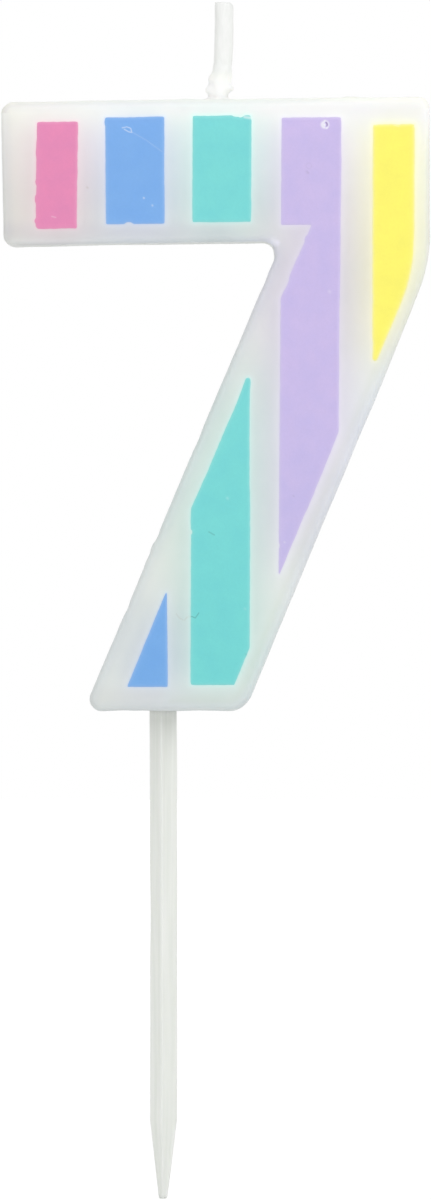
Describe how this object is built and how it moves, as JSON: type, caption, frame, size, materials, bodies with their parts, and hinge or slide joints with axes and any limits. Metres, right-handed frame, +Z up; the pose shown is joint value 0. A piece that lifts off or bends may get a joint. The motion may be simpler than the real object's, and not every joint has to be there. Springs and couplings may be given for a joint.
{
  "type": "number candle",
  "caption": "Numeral seven party candle: flat wax figure with raised stripes of pastel colour, a wick on its bar and a pointed pick under its foot to stand it in a cake.",
  "frame": {"origin": "on the axis of the pick, at the underside of the wax, which is where the surface of the cake comes to", "axes": "+Z up along the pick towards the wick, +X towards the right of the numeral as read, -Y out of the printed front face"},
  "size_m": [0.043, 0.0092, 0.1199],
  "materials": {
    "wax": "translucent white candle wax, satin",
    "wick": "white braided cotton, coated with wax",
    "pick": "translucent white moulded plastic, satin",
    "pink_colour": "thick pastel pink candle paint, semi-gloss",
    "blue_colour": "thick pastel blue candle paint, semi-gloss",
    "teal_colour": "thick pastel teal candle paint, semi-gloss",
    "lavender_colour": "thick pastel lavender candle paint, semi-gloss",
    "yellow_colour": "thick pastel yellow candle paint, semi-gloss"
  },
  "bodies": {
    "root": {"wax_body": "wax", "wick": "wick", "pick": "pick", "pink_panel": "pink_colour", "blue_panel_upper": "blue_colour", "teal_panel_upper": "teal_colour", "lavender_panel": "lavender_colour", "yellow_panel": "yellow_colour", "teal_panel_lower": "teal_colour", "blue_panel_lower": "blue_colour"}
  },
  "joints": []
}
